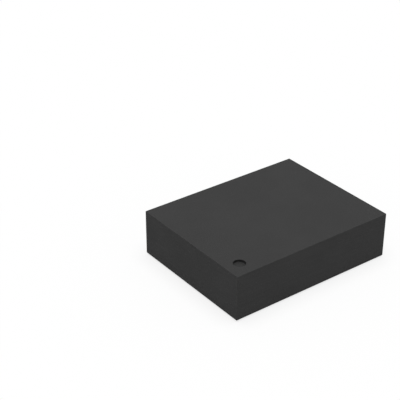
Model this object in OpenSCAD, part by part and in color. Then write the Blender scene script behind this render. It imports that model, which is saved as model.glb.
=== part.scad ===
// Surface-mount resonator oscillator in a four-land moulded package.
// The origin is the middle of the seating plane, on which the four lands rest.
// +X runs along the length, +Y along the width and +Z up to the marked top face.
// Pin 1 is at -X, -Y, and the pins are counted anticlockwise from above. All sizes are millimetres.

/* [Moulded body] */
// Length of the body
body_l = 3.2; // [3:0.05:3.6]
// Width of the body
body_w = 2.5; // [2.3:0.05:2.9]
// Height of the top face above the seating plane
body_h = 0.85; // [0.75:0.01:1.2]
// Height by which the lands stand proud of the underside
stand_off = 0.025; // [0.01:0.005:0.05]

/* [Index dimple] */
// Diameter of the dimple over pin 1
dimple_d = 0.21; // [0.1:0.01:0.4]
// Depth of the dimple
dimple_depth = 0.045; // [0.02:0.005:0.08]
// From the body's short side to the dimple's centre
dimple_end = 0.27; // [0.24:0.01:0.5]
// From the body's long side to the dimple's centre
dimple_side = 0.29; // [0.24:0.01:0.5]

/* [Lands] */
// Length of a land
land_l = 0.9; // [0.7:0.02:1]
// Width of a land
land_w = 0.82; // [0.7:0.02:0.9]
// From the body's short side to a land
land_end = 0.08; // [0.04:0.01:0.15]
// From the body's long side to a land
land_side = 0.03; // [0.02:0.005:0.08]
// Length cut from the corner of the pin 1 land
chamfer_l = 0.37; // [0.2:0.01:0.5]
// Width cut from the corner of the pin 1 land
chamfer_w = 0.42; // [0.2:0.01:0.5]

/* [Lead frame] */
// Thickness of the copper sheet
lead_t = 0.2; // [0.16:0.01:0.24]
// Thickness left where the sheet is etched away from below
etched_t = 0.1; // [0.07:0.01:0.12]
// Width of the etched ledge that locks a land into the mould
ledge = 0.05; // [0.02:0.01:0.08]
// Length of the finger's broad root over the land
finger_root = 0.16; // [0.1:0.01:0.3]
// Gap between fingers that meet end to end
finger_end_gap = 0.2; // [0.12:0.01:0.4]
// Gap between fingers that lie side by side
finger_side_gap = 0.24; // [0.12:0.01:0.4]

/* [Oscillator chip] */
// Length of the chip
chip_l = 1.3; // [1.2:0.01:1.4]
// Width of the chip
chip_w = 0.95; // [0.88:0.01:1.1]
// Thickness of the chip
chip_t = 0.15; // [0.1:0.01:0.18]
// Thickness of the film under each chip
film_t = 0.02; // [0.01:0.005:0.03]
// Width of a square bond pad on either chip
pad_w = 0.064; // [0.058:0.002:0.068]
// Thickness of a bond pad's metal
pad_t = 0.003; // [0.002:0.001:0.005]

/* [Resonator chip] */
// Length of the base chip
base_l = 0.62; // [0.58:0.01:0.66]
// Width of the base chip
base_w = 0.5; // [0.46:0.01:0.6]
// Thickness of the base chip
base_t = 0.09; // [0.06:0.01:0.11]
// Distance of the base chip's centre from the middle of the package
base_shift = 0.1; // [0.06:0.01:0.14]
// Length of the bare shelf that holds the bond pads
shelf_l = 0.11; // [0.08:0.01:0.13]
// Thickness of the cap
cap_t = 0.08; // [0.05:0.01:0.1]
// Depth of the hollow etched into the cap's underside
cap_hollow = 0.02; // [0.01:0.005:0.03]
// Width of the wall that seals the cap to the base
seal_w = 0.06; // [0.03:0.01:0.07]

/* [Resonator] */
// Outside diameter of the ring
ring_d = 0.26; // [0.2:0.01:0.28]
// Width of the ring
ring_w = 0.022; // [0.012:0.002:0.03]
// Thickness of the silicon layer that the ring is cut from
device_t = 0.016; // [0.01:0.002:0.024]
// Diameter of the anchored hub
hub_d = 0.05; // [0.03:0.002:0.08]
// Width of a spoke
spoke_w = 0.008; // [0.006:0.001:0.014]
// Gap under the ring
ring_lift = 0.004; // [0.003:0.001:0.008]
// Gap between the ring and the cap
cap_gap = 0.005; // [0.003:0.001:0.01]
// Gap between the ring and its electrodes
electrode_gap = 0.004; // [0.003:0.001:0.006]
// Radial width of an electrode
electrode_w = 0.024; // [0.012:0.002:0.028]
// Angle that an electrode spans
electrode_span = 64; // [40:2:76]

/* [Bond wires] */
// Diameter of the wire
wire_d = 0.02; // [0.015:0.001:0.025]
// Diameter of the ball at the wire's start
ball_d = 0.05; // [0.04:0.002:0.056]
// Height of the ball
ball_t = 0.012; // [0.008:0.001:0.016]
// Height of a loop to the lands above its ball
long_rise = 0.13; // [0.1:0.01:0.16]
// Height of a loop between the chips above its ball
short_rise = 0.07; // [0.06:0.01:0.1]
// Length of the flattened stitch at the wire's end
stitch_l = 0.03; // [0.02:0.005:0.04]
// From the oscillator chip's edges to the centres of its bond pads
pad_edge = 0.06; // [0.04:0.005:0.08]
// Distance between the pads of a pair of wires
pad_pitch = 0.11; // [0.08:0.01:0.13]
// Distance between the pads on the resonator chip's shelf
shelf_pitch = 0.1; // [0.07:0.01:0.11]
// From the resonator chip's edge to the stitches beside it
landing = 0.13; // [0.1:0.01:0.16]
// From a land's inner end to the stitches on it
stitch_end = 0.34; // [0.28:0.01:0.5]
// From a land's inner side to the stitches on it
stitch_side = 0.3; // [0.2:0.01:0.5]

/* [Hidden] */

$fn = 48;

// Heights of the stack, from the seating plane up
chip_z = lead_t + film_t;
chip_top = chip_z + chip_t;
base_z = chip_top + film_t;
base_top = base_z + base_t;
cavity_t = ring_lift + device_t + cap_gap;
cap_z = base_top + cavity_t;
cap_top = cap_z + cap_t;

// The land of the +X, +Y corner, which the other three mirror
land_far = [body_l / 2 - land_end, body_w / 2 - land_side];
land_near = land_far - [land_l, land_w];
finger_end = [finger_end_gap / 2, finger_side_gap / 2];
PIN_CORNER = [[-1, -1], [1, -1], [1, 1], [-1, 1]];

// The resonator chip lies towards -X, and its shelf faces +X
base_x = -base_shift;
cap_l = base_l - shelf_l;
cap_x = base_x - shelf_l / 2;
shelf_x = base_x + (base_l - shelf_l) / 2;
landing_x = base_x + base_l / 2 + landing;
window = [cap_l - 2 * seal_w, base_w - 2 * seal_w];
ring_r = ring_d / 2;

// The wires are swept with eight sides, and a side lies flat on what carries it
WIRE_SIDES = 8;
FLAT_SIDE = cos(180 / WIRE_SIDES);
LOOP_RINGS = 12;
// Where the loop's knee lies, as a share of the span, and how high the curve gets of its knee
KNEE = 0.4;
KNEE_REACHED = 0.75;
// The squashed ball: share of its height, share of its radius
BALL_PROFILE = [[0, 0.8], [0.4, 1], [1, 0.7]];
// The stitch: share of its length left, then half-width and half-height as shares of the wire's radius
STITCH_PROFILE = [[1, 1.2, 0.5], [0, 1.5, 0.25]];
// The wires to the lands: the pin, then 0 for the chip's corner pad or 1 for the pad beside it
LAND_WIRES = [[1, 0], [2, 0], [2, 1], [3, 0], [4, 0], [4, 1]];
SHELF_WIRES = 4;

// Tools shared by the parts

function to_corner(points, corner) = [for (p = points) [p.x * corner.x, p.y * corner.y]];

// The middle of a bond pad near a corner of the oscillator chip, and of the land's stitch for it
function corner_pad(pin, place) = to_corner(
    [[chip_l / 2 - pad_edge - place * pad_pitch, chip_w / 2 - pad_edge]], PIN_CORNER[pin - 1])[0];
function land_stitch(pin, place) = to_corner(
    [[land_near.x + stitch_end - place * pad_pitch, land_near.y + stitch_side]],
    PIN_CORNER[pin - 1])[0];

// How far across the width a wire of the resonator chip lies
function shelf_y(number) = (number - (SHELF_WIRES + 1) / 2) * shelf_pitch;

// A block centred in X and Y on a point, standing on a height
module block(size, x, z) {
    translate([x - size.x / 2, -size.y / 2, z]) cube(size);
}

// Square metal pads, centred on points
module bond_pads(points, z) {
    for (p = points) translate([p.x - pad_w / 2, p.y - pad_w / 2, z]) cube([pad_w, pad_w, pad_t]);
}

// Lead frame

// The exposed land, with the corner by the short side cut where it marks pin 1
function land_outline(marked) = concat(
    [land_far, [land_near.x, land_far.y], land_near],
    marked
        ? [[land_far.x - chamfer_l, land_near.y], [land_far.x, land_near.y + chamfer_w]]
        : [[land_far.x, land_near.y]]
);

// The upper half of a terminal: the land, its locking ledge and the finger under the chip
function ledge_outline() = [
    land_far,
    [land_near.x - ledge, land_far.y],
    [land_near.x - ledge, land_near.y],
    [finger_end.x, land_near.y],
    finger_end,
    [land_near.x + finger_root, finger_end.y],
    [land_near.x + finger_root, land_near.y - ledge],
    [land_far.x, land_near.y - ledge]
];

module terminal(pin) {
    corner = PIN_CORNER[pin - 1];
    lower_t = lead_t - etched_t;
    color("gainsboro") union() {
        linear_extrude(lower_t) polygon(to_corner(land_outline(pin == 1), corner));
        translate([0, 0, lower_t]) linear_extrude(etched_t)
            polygon(to_corner(ledge_outline(), corner));
    }
}

module terminal_1() { terminal(1); }
module terminal_2() { terminal(2); }
module terminal_3() { terminal(3); }
module terminal_4() { terminal(4); }

// Oscillator chip, which an insulating film holds on the four fingers

module chip_film() {
    color("khaki") block([chip_l, chip_w, film_t], 0, lead_t);
}

module oscillator_chip() {
    landings = [for (number = [1:SHELF_WIRES]) [landing_x - stitch_l / 2, shelf_y(number)]];
    color("slategray") union() {
        block([chip_l, chip_w, chip_t], 0, chip_z);
        bond_pads([for (wire = LAND_WIRES) corner_pad(wire[0], wire[1])], chip_top);
        bond_pads(landings, chip_top);
    }
}

// Resonator chip: a base and a cap that seal the ring in a vacuum

module resonator_film() {
    color("khaki") block([base_l, base_w, film_t], base_x, chip_top);
}

module resonator_base() {
    color("lightslategray") union() {
        block([base_l, base_w, base_t], base_x, base_z);
        bond_pads([for (number = [1:SHELF_WIRES]) [shelf_x, shelf_y(number)]], base_top);
    }
}

module seal_ring() {
    color("tan") difference() {
        block([cap_l, base_w, cavity_t], cap_x, base_top);
        block([window.x, window.y, 3 * cavity_t], cap_x, base_top - cavity_t);
    }
}

module resonator_cap() {
    color("dimgray") difference() {
        block([cap_l, base_w, cap_t], cap_x, cap_z);
        block([window.x, window.y, 2 * cap_hollow], cap_x, cap_z - cap_hollow);
    }
}

// The ring hangs by four spokes from a hub that is anchored to the base
module resonator_ring() {
    inner_r = ring_r - ring_w;
    color("silver") translate([cap_x, 0, base_top]) union() {
        cylinder(d = hub_d, h = ring_lift + device_t);
        translate([0, 0, ring_lift]) difference() {
            cylinder(r = ring_r, h = device_t);
            translate([0, 0, -device_t]) cylinder(r = inner_r, h = 3 * device_t);
        }
        for (turn = [0, 90]) rotate([0, 0, turn])
            translate([-inner_r - ring_w / 2, -spoke_w / 2, ring_lift])
                cube([2 * inner_r + ring_w, spoke_w, device_t]);
    }
}

// An electrode is an arc wall on the base, round the outside of the ring
module electrode(number) {
    inner_r = ring_r + electrode_gap;
    outer_r = inner_r + electrode_w;
    reach = 2 * outer_r;
    half = electrode_span / 2;
    color("darkgray") translate([cap_x, 0, base_top]) rotate([0, 0, 90 * (number - 1)])
        linear_extrude(ring_lift + device_t) difference() {
            circle(r = outer_r);
            circle(r = inner_r);
            polygon([
                [0, 0], reach * [cos(half), sin(half)], reach * [0, 1], reach * [-1, 1],
                reach * [-1, -1], reach * [0, -1], reach * [cos(half), -sin(half)]
            ]);
        }
}

module electrode_1() { electrode(1); }
module electrode_2() { electrode(2); }
module electrode_3() { electrode(3); }
module electrode_4() { electrode(4); }

// Bond wires

// A point of a cubic curve at t, from 0 to 1
function bezier(p, t) = pow(1 - t, 3) * p[0] + 3 * t * pow(1 - t, 2) * p[1]
    + 3 * t * t * (1 - t) * p[2] + pow(t, 3) * p[3];

// The curve's direction there
function bezier_way(p, t) = pow(1 - t, 2) * (p[1] - p[0]) + 2 * t * (1 - t) * (p[2] - p[1])
    + t * t * (p[3] - p[2]);

// One ring of the sweep, in the wire's own upright plane: s along the plane, z up.
// way is the direction of travel, wide the half-width across it and high the half-height.
function wire_ring(centre, way, wide, high) = [
    let (rise = [-way.y, way.x] / norm(way))
    for (k = [0:WIRE_SIDES - 1])
        let (angle = (k + 0.5) * 360 / WIRE_SIDES,
             up = high * sin(angle) / FLAT_SIDE)
        [centre.x + rise.x * up, wide * cos(angle), centre.y + rise.y * up]
];

// The rings of a wire from its ball to its stitch. drop is how far the stitch lies below the ball.
function wire_rings(span, drop, rise) =
    let (r = wire_d / 2,
         knee = rise / KNEE_REACHED,
         heel = [span - stitch_l, STITCH_PROFILE[0][2] * r - drop],
         loop = [[0, ball_t + r], [0, knee], [span * KNEE, knee], heel])
    concat(
        [for (part = BALL_PROFILE) let (ball_r = part[1] * ball_d / 2)
            wire_ring([0, part[0] * ball_t], [0, 1], ball_r, ball_r)],
        [for (i = [0:LOOP_RINGS - 1]) let (t = i / LOOP_RINGS)
            wire_ring(bezier(loop, t), bezier_way(loop, t), r, r)],
        [for (part = STITCH_PROFILE) let (high = part[2] * r)
            wire_ring([span - part[0] * stitch_l, high - drop], [1, 0], part[1] * r, high)]
    );

function ring_faces(rings) = concat(
    [[for (k = [0:WIRE_SIDES - 1]) k]],
    [for (i = [0:rings - 2], k = [0:WIRE_SIDES - 1], half = [0, 1])
        let (a = i * WIRE_SIDES + k,
             b = i * WIRE_SIDES + (k + 1) % WIRE_SIDES)
        half == 0 ? [a, a + WIRE_SIDES, b] : [b, a + WIRE_SIDES, b + WIRE_SIDES]],
    [[for (k = [WIRE_SIDES - 1:-1:0]) (rings - 1) * WIRE_SIDES + k]]
);

// A wire from the pad point start to the stitch point finish
module bond_wire(start, finish, rise) {
    run = [finish.x - start.x, finish.y - start.y];
    rings = wire_rings(norm(run), start.z - finish.z, rise);
    color("gold") translate(start) rotate([0, 0, atan2(run.y, run.x)])
        polyhedron([for (ring = rings) each ring], ring_faces(len(rings)));
}

// A wire from the oscillator chip to a land
module land_wire(wire) {
    pin = wire[0];
    place = wire[1];
    bond_wire(
        [each corner_pad(pin, place), chip_top + pad_t],
        [each land_stitch(pin, place), lead_t],
        long_rise
    );
}

// A wire from the resonator chip's shelf to the oscillator chip beside it
module shelf_wire(number) {
    bond_wire(
        [shelf_x, shelf_y(number), base_top + pad_t],
        [landing_x, shelf_y(number), chip_top + pad_t],
        short_rise
    );
}

module enable_wire() { land_wire(LAND_WIRES[0]); }
module ground_wire_1() { land_wire(LAND_WIRES[1]); }
module ground_wire_2() { land_wire(LAND_WIRES[2]); }
module output_wire() { land_wire(LAND_WIRES[3]); }
module supply_wire_1() { land_wire(LAND_WIRES[4]); }
module supply_wire_2() { land_wire(LAND_WIRES[5]); }
module resonator_wire_1() { shelf_wire(1); }
module resonator_wire_2() { shelf_wire(2); }
module resonator_wire_3() { shelf_wire(3); }
module resonator_wire_4() { shelf_wire(4); }

// Moulded body

// All that the mould flows round
module encapsulated() {
    for (pin = [1:4]) terminal(pin);
    chip_film();
    oscillator_chip();
    resonator_film();
    resonator_base();
    block([cap_l, base_w, cap_top - base_top], cap_x, base_top);
    for (wire = LAND_WIRES) land_wire(wire);
    for (number = [1:SHELF_WIRES]) shelf_wire(number);
}

module mould_body() {
    color("#434343") difference() {
        block([body_l, body_w, body_h - stand_off], 0, stand_off);
        encapsulated();
        translate([dimple_end - body_l / 2, dimple_side - body_w / 2, body_h - dimple_depth])
            cylinder(d = dimple_d, h = 2 * dimple_depth);
    }
}

mould_body();
terminal_1();
terminal_2();
terminal_3();
terminal_4();
chip_film();
oscillator_chip();
resonator_film();
resonator_base();
seal_ring();
resonator_cap();
resonator_ring();
electrode_1();
electrode_2();
electrode_3();
electrode_4();
enable_wire();
ground_wire_1();
ground_wire_2();
output_wire();
supply_wire_1();
supply_wire_2();
resonator_wire_1();
resonator_wire_2();
resonator_wire_3();
resonator_wire_4();
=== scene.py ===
# %% [markdown]
# # A clock chip smaller than a grain of rice
#
# The object is a surface-mount oscillator: a black moulded block, 3.2 mm long, with four flat
# metal lands under it. Inside lie two silicon chips, one with a tiny ring that rings like a
# bell, and gold wires that join them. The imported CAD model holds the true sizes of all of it.
#
# This lesson dresses that model. It loads the CAD solids as a fixed frame, keeps those whose
# shape is right, and replaces those that deserve softer edges or rounder curves. Nothing is
# moved or resized, because the sizes belong to the CAD.

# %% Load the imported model
import math

import bmesh
import bpy
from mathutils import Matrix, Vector


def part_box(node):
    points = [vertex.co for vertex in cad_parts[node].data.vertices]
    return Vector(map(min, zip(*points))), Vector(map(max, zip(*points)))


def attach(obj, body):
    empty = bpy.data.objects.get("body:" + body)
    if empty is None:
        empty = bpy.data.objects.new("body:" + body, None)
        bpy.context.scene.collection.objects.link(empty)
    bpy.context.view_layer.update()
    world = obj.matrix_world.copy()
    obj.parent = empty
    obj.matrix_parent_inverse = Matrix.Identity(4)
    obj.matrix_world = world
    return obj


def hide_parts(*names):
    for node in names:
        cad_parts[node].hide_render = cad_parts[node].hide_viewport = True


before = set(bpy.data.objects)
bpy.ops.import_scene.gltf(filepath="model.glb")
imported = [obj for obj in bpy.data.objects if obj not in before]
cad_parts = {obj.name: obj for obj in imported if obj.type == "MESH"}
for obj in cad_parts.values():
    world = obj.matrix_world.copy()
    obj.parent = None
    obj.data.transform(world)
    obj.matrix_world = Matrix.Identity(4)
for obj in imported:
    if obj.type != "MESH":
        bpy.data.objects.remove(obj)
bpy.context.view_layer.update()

MM = 0.001  # the scene is in metres, and this part is easier to think of in millimetres

print("CAD nodes:", len(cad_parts))

# %% [markdown]
# ## Sizes come from the frame
#
# A part this small punishes guesses: ten microns are a visible step. So sizes are measured
# on the CAD nodes where they can be, and only the few that a bounding box can't show are
# written down as numbers. All of them are in millimetres, and a mesh is scaled to metres
# as its very last step. That order also keeps Blender's mesh tools away from lengths near
# their own rounding limits.

# %% Measure the main pieces
def box_mm(node):
    """Lowest and highest corner of a CAD node, in millimetres."""
    low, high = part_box(node)
    return low / MM, high / MM


body_low, body_high = box_mm("mould_body")
chip_low, chip_high = box_mm("oscillator_chip")
base_low, base_high = box_mm("resonator_base")
cap_low, cap_high = box_mm("resonator_cap")
seal_low, seal_high = box_mm("seal_ring")
land_high = box_mm("terminal_3")[1]

PAD_THICKNESS = 0.003
chip_top = chip_high.z - PAD_THICKNESS
base_top = base_high.z - PAD_THICKNESS

for name in ("mould_body", "terminal_3", "oscillator_chip", "resonator_base"):
    low, high = box_mm(name)
    print(f"{name}: {high.x - low.x:.3f} x {high.y - low.y:.3f} x {high.z - low.z:.3f} mm")

# %% [markdown]
# ## The camera
#
# The picture looks down on one corner from 30 degrees above the table, with the marked
# corner nearest. Its edges run slightly together with distance, so the camera is close and
# its lens is about 100 mm long. The place was found by fitting the block's corners and edges
# to the picture, which left its outline within about a tenth of a pixel.
#
# Blender hides what is nearer than the clip start. At this scale it must be far below a
# millimetre, or the camera would look straight through the part.

# %% Place the camera
CAMERA_PLACE = Vector((-10.643, -12.390, 10.441)) * MM
CAMERA_TURN = -36.772
CAMERA_DOWN = 29.845
LENS = 100.894
SENSOR = 36
CLIP = (0.1 * MM, 1000 * MM)

turn, down = math.radians(CAMERA_TURN), math.radians(CAMERA_DOWN)
camera_way = Vector((-math.sin(turn) * math.cos(down), math.cos(turn) * math.cos(down), -math.sin(down)))

camera = bpy.data.objects.new("camera", bpy.data.cameras.new("camera"))
camera.data.lens = LENS
camera.data.sensor_width = SENSOR
camera.data.clip_start, camera.data.clip_end = CLIP
camera.location = CAMERA_PLACE
camera.rotation_euler = camera_way.to_track_quat("-Z", "Y").to_euler()
bpy.context.scene.collection.objects.link(camera)
bpy.context.scene.camera = camera
bpy.context.scene.view_settings.view_transform = "Standard"
print("camera looks along", [round(share, 3) for share in camera_way])

# %% [markdown]
# ## Helpers for node trees
#
# Materials, groups and Geometry Nodes are all trees of nodes, and each node could be placed
# and wired by hand. That takes three or four lines a node, so two small helpers do it in
# one: `add` makes a node and fills its inputs, and `step` does the same and hands back its
# first output, ready for the next node. An input takes either a plain value or another
# node's output, which is then linked. A last helper starts a tree that has named inputs and
# outputs of its own.

# %% Write the helpers that add nodes
def fill(tree, socket, value):
    """Sets an input to a plain value, or links it to another node's output."""
    if isinstance(value, bpy.types.NodeSocket):
        tree.links.new(value, socket)
    else:
        socket.default_value = value


def add(tree, kind, inputs=None, **settings):
    """Adds a node with its settings, and fills the inputs that are named or numbered."""
    node = tree.nodes.new(kind)
    for name, value in settings.items():
        setattr(node, name, value)
    for key, value in (inputs or {}).items():
        fill(tree, node.inputs[key], value)
    return node


def step(tree, kind, inputs=None, **settings):
    """Adds a node and hands back its first output."""
    return add(tree, kind, inputs, **settings).outputs[0]


def new_group(name, kind, inputs, outputs):
    """An empty tree with named sockets. Returns the tree, what it is given and what it gives."""
    tree = bpy.data.node_groups.new(name, kind)
    for direction, sockets in (("INPUT", inputs), ("OUTPUT", outputs)):
        for label, data, *default in sockets:
            socket = tree.interface.new_socket(label, in_out=direction, socket_type="NodeSocket" + data)
            if default:
                socket.default_value = default[0]
    return tree, tree.nodes.new("NodeGroupInput").outputs, tree.nodes.new("NodeGroupOutput").inputs


print("node helpers:", *(helper.__name__ for helper in (fill, add, step, new_group)))

# %% [markdown]
# ## Arithmetic with nodes
#
# Shaders and Geometry Nodes share the same nodes for arithmetic on numbers and on vectors. One
# function for each kind of node is enough, because the operation is only a setting.

# %% Write the arithmetic helpers
def calc(tree, operation, *values, clamp=False):
    """One step of arithmetic on numbers."""
    return step(tree, "ShaderNodeMath", dict(enumerate(values)), operation=operation, use_clamp=clamp)


def vector_calc(tree, operation, *values, out="Vector"):
    """One step of arithmetic on vectors."""
    return add(tree, "ShaderNodeVectorMath", dict(enumerate(values)), operation=operation).outputs[out]


def split(tree, vector):
    """The X, Y and Z of a vector."""
    return add(tree, "ShaderNodeSeparateXYZ", {0: vector}).outputs


def point(tree, x=0.0, y=0.0, z=0.0):
    """A vector from its X, Y and Z."""
    return step(tree, "ShaderNodeCombineXYZ", {"X": x, "Y": y, "Z": z})


print("arithmetic helpers:", *(helper.__name__ for helper in (calc, vector_calc, split, point)))

# %% [markdown]
# ## A small kit of patterns
#
# Nearly every pattern below is made of the same few steps: a smooth step between two levels, a
# blend of two colours, and soft noise. Written once as functions, they let a material read
# like a sentence.

# %% Write the pattern kit
def ramp(tree, value, low, high, to_low=0.0, to_high=1.0):
    """A smooth step: to_low below low, to_high above high."""
    places = {"Value": value, "From Min": low, "From Max": high, "To Min": to_low, "To Max": to_high}
    return step(tree, "ShaderNodeMapRange", places, interpolation_type="SMOOTHSTEP")


def mix(tree, factor, first, second, blend="MIX"):
    """A blend of two colours, or of two numbers."""
    kind = "Color" if hasattr(first, "__len__") or getattr(first, "type", "") == "RGBA" else "Float"
    node = add(tree, "ShaderNodeMix", data_type={"Color": "RGBA", "Float": "FLOAT"}[kind], blend_type=blend)
    sockets = {socket.identifier: socket for socket in node.inputs}
    for name, value in (("Factor_Float", factor), ("A_" + kind, first), ("B_" + kind, second)):
        fill(tree, sockets[name], value)
    return next(socket for socket in node.outputs if socket.identifier == "Result_" + kind)


def noise(tree, place, scale, detail=2.0, roughness=0.5, reach=0.2):
    """Soft random patches that go from 0 to 1 where the noise is within reach of its middle."""
    look = {"Vector": place, "Scale": scale, "Detail": detail, "Roughness": roughness}
    return ramp(tree, add(tree, "ShaderNodeTexNoise", look).outputs["Fac"], 0.5 - reach, 0.5 + reach)


def grey(level):
    """A plain grey of that lightness."""
    return (level, level, level, 1.0)


print("pattern helpers:", *(helper.__name__ for helper in (ramp, mix, noise, grey)))

# %% [markdown]
# ## Soft studio light
#
# A small part is photographed in a light tent: light comes evenly from all round, and a
# little more from above. Here the world is the tent and a very wide sun is the lamp over
# it. A sun has no distance, so it works at any scale, where an area lamp a few millimetres
# off would need a power of microwatts.
#
# The two together light an upward white face to just 1, so every colour renders about as it
# is written. The sides get their light from the pale floor, and that is why they come out at
# about six tenths of the top, as in the picture. Rays from the camera, and those that
# mirrors and glass send on, see the tent as plain white.

# %% Light the tent
TENT_LEVEL = 0.26
LAMP_LEVEL = 0.74
LAMP_WIDTH = 50
LAMP_TILT = (2.0, -1.0)
PLAIN_WHITE = grey(1.0)


def seen(tree):
    """1 for what the camera sees, also in metal or through glass, and 0 for light that only falls."""
    path = add(tree, "ShaderNodeLightPath").outputs
    direct = calc(tree, "MAXIMUM", path["Is Camera Ray"], path["Is Glossy Ray"])
    return calc(tree, "MAXIMUM", direct, path["Is Transmission Ray"])


world = bpy.data.worlds.new("light_tent")
world.use_nodes = True
bpy.context.scene.world = world
tree = world.node_tree
tree.nodes.clear()
level = step(tree, "ShaderNodeMapRange", {"Value": seen(tree), "To Min": TENT_LEVEL, "To Max": 1.0})
tent = step(tree, "ShaderNodeBackground", {"Color": PLAIN_WHITE, "Strength": level})
add(tree, "ShaderNodeOutputWorld", {"Surface": tent})

lamp = bpy.data.objects.new("lamp", bpy.data.lights.new("lamp", "SUN"))
lamp.data.energy = LAMP_LEVEL * math.pi
lamp.data.angle = math.radians(LAMP_WIDTH)
lamp.rotation_euler = [math.radians(angle) for angle in (*LAMP_TILT, 0)]
bpy.context.scene.collection.objects.link(lamp)
print("light on an upward white face is about", round(TENT_LEVEL + LAMP_LEVEL, 3))

# %% [markdown]
# ## The white table
#
# The part stands on a sheet of white card that fades into the white tent. A shadow catcher
# would lose its shadow outside Blender, so the card is a plain matte sheet, and it bounces
# light onto the sides like any card. To the camera it is a whiter card mixed with a plain
# white glow. The card's share keeps the part's soft shadow, and further out the glow takes
# over, so no edge of the sheet shows. From below, where Backfacing is true, the sheet is
# clear, and a camera under the table can see the lands.

# %% Lay the white table
TABLE_RADIUS = 150
TABLE_SIDES = 96
TABLE_GAP = 0.002
CARD_SHARE = 0.24
CARD_FADE = (2.1, 5.0)
CARD_COLOUR = grey(0.88)
CARD_SEEN = grey(0.99)

disc = bmesh.new()
bmesh.ops.create_circle(disc, cap_ends=True, segments=TABLE_SIDES, radius=TABLE_RADIUS * MM)
bmesh.ops.translate(disc, vec=(0, 0, -TABLE_GAP * MM), verts=disc.verts)
table = bpy.data.objects.new("table", bpy.data.meshes.new("table"))
disc.to_mesh(table.data)
disc.free()
bpy.context.scene.collection.objects.link(table)

card = bpy.data.materials.new("white_card")
card.use_nodes = True
tree = card.node_tree
tree.nodes.clear()
far_out = vector_calc(tree, "LENGTH", add(tree, "ShaderNodeTexCoord").outputs["Object"], out="Value")
glow_share = ramp(tree, far_out, CARD_FADE[0] * MM, CARD_FADE[1] * MM, 1 - CARD_SHARE, 1.0)
card_tone = mix(tree, seen(tree), CARD_COLOUR, CARD_SEEN)
matte = step(tree, "ShaderNodeBsdfDiffuse", {"Color": card_tone})
glow = step(tree, "ShaderNodeEmission", {"Color": PLAIN_WHITE, "Strength": 1.0})
glow_share = calc(tree, "MULTIPLY", seen(tree), glow_share)
sheet = step(tree, "ShaderNodeMixShader", {0: glow_share, 1: matte, 2: glow})
below = add(tree, "ShaderNodeNewGeometry").outputs["Backfacing"]
seen_below = calc(tree, "MULTIPLY", below, add(tree, "ShaderNodeLightPath").outputs["Is Camera Ray"])
clear = step(tree, "ShaderNodeBsdfTransparent")
sheet = step(tree, "ShaderNodeMixShader", {0: seen_below, 1: sheet, 2: clear})
add(tree, "ShaderNodeOutputMaterial", {"Surface": sheet})
table.data.materials.append(card)
print("table radius", TABLE_RADIUS, "mm")

# %% [markdown]
# ## A shared effect: filler grain
#
# Moulding compound is black resin packed with silica beads, and die-attach film and seal
# glass are filled in the same way. Seen close they all show a soft grain with single paler
# grains in it. One shader group makes this for all of them. It takes a position in
# millimetres and puts out the grain, the mask of the pale beads, and a height for bump.
#
# A Voronoi texture has one point in each of its cells, so a bead grows round each point. Its
# random colour is three random numbers at once: whether there is a bead, how far it
# reaches, and how pale it is.

# %% Build the filler grain group
BEAD_REACH = (0.14, 0.38)
BEAD_TONE = (0.3, 1.0)
BEAD_RIM = 0.7
BEAD_HEIGHT = 0.5

tree, given, gives = new_group(
    "filler_grain",
    "ShaderNodeTree",
    [
        ("Position", "Vector"),
        ("Grain Size", "Float", 0.02),
        ("Bead Size", "Float", 0.03),
        ("Bead Share", "Float", 0.2),
    ],
    [("Grain", "Float"), ("Beads", "Float"), ("Height", "Float")],
)
grain_scale = calc(tree, "DIVIDE", 1.0, given["Grain Size"])
grain = noise(tree, given["Position"], grain_scale, detail=3.0, roughness=0.6)
bead_scale = calc(tree, "DIVIDE", 1.0, given["Bead Size"])
cells = add(tree, "ShaderNodeTexVoronoi", {"Vector": given["Position"], "Scale": bead_scale}).outputs
chance = add(tree, "ShaderNodeSeparateColor", {"Color": cells["Color"]}).outputs
reach = mix(tree, chance[1], *BEAD_REACH)
bead_round = ramp(tree, calc(tree, "DIVIDE", cells["Distance"], reach), BEAD_RIM, 1.0, 1.0, 0.0)
bead_there = calc(tree, "LESS_THAN", chance[0], given["Bead Share"])
beads = calc(tree, "MULTIPLY", bead_round, bead_there)
beads = calc(tree, "MULTIPLY", beads, mix(tree, chance[2], *BEAD_TONE))
fill(tree, gives["Grain"], grain)
fill(tree, gives["Beads"], beads)
fill(tree, gives["Height"], calc(tree, "MULTIPLY_ADD", beads, BEAD_HEIGHT, grain))
filler_grain = tree
print("group filler_grain:", len(tree.nodes), "nodes")

# %% [markdown]
# ## A shared effect: edges of a box
#
# A block's edges are painted a shade paler than its faces: partly the rub of handling, and
# partly a painted highlight where a real edge would catch the light. A chip's sawn edges are
# bruised paler in the same way. Feeling the mesh for its edges, as a Bevel node does, is slow
# and is lost on export. A box needs none of it. Take the distance from a point to each of the
# three pairs of faces: the smallest is the face that the point is on, and the second
# smallest is how far the nearest edge is.

# %% Build the box edge group
EDGE_WOBBLE_SCALE = 14.0

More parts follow.
